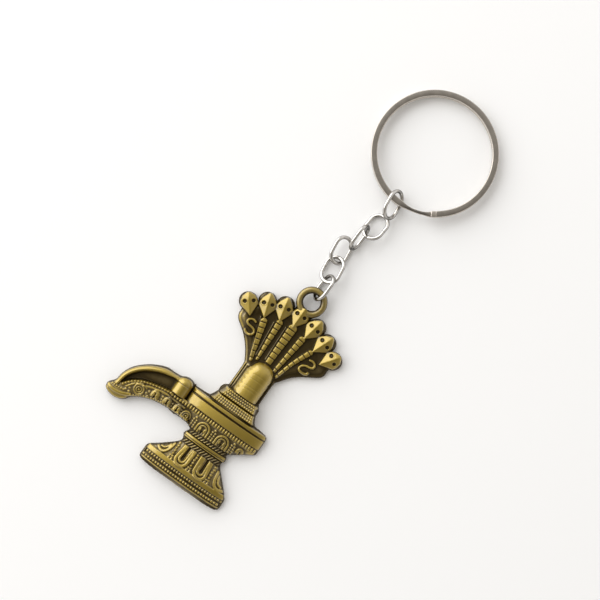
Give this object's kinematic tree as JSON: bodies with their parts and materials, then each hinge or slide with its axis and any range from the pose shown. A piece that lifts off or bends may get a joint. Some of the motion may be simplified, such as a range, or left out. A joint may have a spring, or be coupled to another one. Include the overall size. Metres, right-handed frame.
{
  "type": "souvenir key ring",
  "caption": "Souvenir key ring: a half-relief cast temple charm with a serpent hood, on a short chain of oval links and a flat-wire split ring.",
  "frame": {"origin": "on the charm's flat back, behind the middle of the basin", "axes": "+Z off the table, out of the relief; +Y from the foot toward the key ring; +X to the charm's right seen from the front"},
  "size_m": [0.0464, 0.1126, 0.0052],
  "materials": {
    "antique_brass": "antiqued satin casting, dark in the hollows",
    "link_nickel": "bright nickel plate",
    "ring_steel": "nickel-plated flat wire, rolled faces"
  },
  "bodies": {
    "charm": {"charm": "antique_brass"},
    "link_1": {"link_1": "link_nickel"},
    "link_2": {"link_2": "link_nickel"},
    "link_3": {"link_3": "link_nickel"},
    "link_4": {"link_4": "link_nickel"},
    "link_5": {"link_5": "link_nickel"},
    "link_6": {"link_6": "link_nickel"},
    "split_ring": {"split_ring": "ring_steel"}
  },
  "joints": [
    {"name": "eyelet_swing", "type": "hinge", "parent": "charm", "child": "link_1", "pos_m": [0.00084, 0.03702, 0.00242], "axis": [0.8746, -0.0068, -0.4847], "range_deg": [-45, 45]},
    {"name": "link_2_swing", "type": "hinge", "parent": "link_1", "child": "link_2", "pos_m": [0.00025, 0.04162, 0.00177], "axis": [-0.425, 0.0443, 0.9041], "range_deg": [-45, 45]},
    {"name": "link_3_swing", "type": "hinge", "parent": "link_2", "child": "link_3", "pos_m": [-0.0007, 0.04647, 0.00177], "axis": [-0.5206, -0.1086, -0.8469], "range_deg": [-45, 45]},
    {"name": "link_4_swing", "type": "hinge", "parent": "link_3", "child": "link_4", "pos_m": [0.00087, 0.05126, 0.0026], "axis": [0.933, -0.0413, 0.3575], "range_deg": [-45, 45]},
    {"name": "link_5_swing", "type": "hinge", "parent": "link_4", "child": "link_5", "pos_m": [0.00248, 0.05555, 0.00193], "axis": [-0.3455, 0.2562, 0.9028], "range_deg": [-45, 45]},
    {"name": "end_link_swing", "type": "hinge", "parent": "link_5", "child": "link_6", "pos_m": [0.00295, 0.06204, 0.00283], "axis": [0.7768, 0.1737, 0.6053], "range_deg": [-45, 45]},
    {"name": "ring_flap", "type": "hinge", "parent": "link_6", "child": "split_ring", "pos_m": [0.00289, 0.0642, 0.00235], "axis": [0.9974, -0.0714, 0.0032], "range_deg": [-45, 80]}
  ]
}
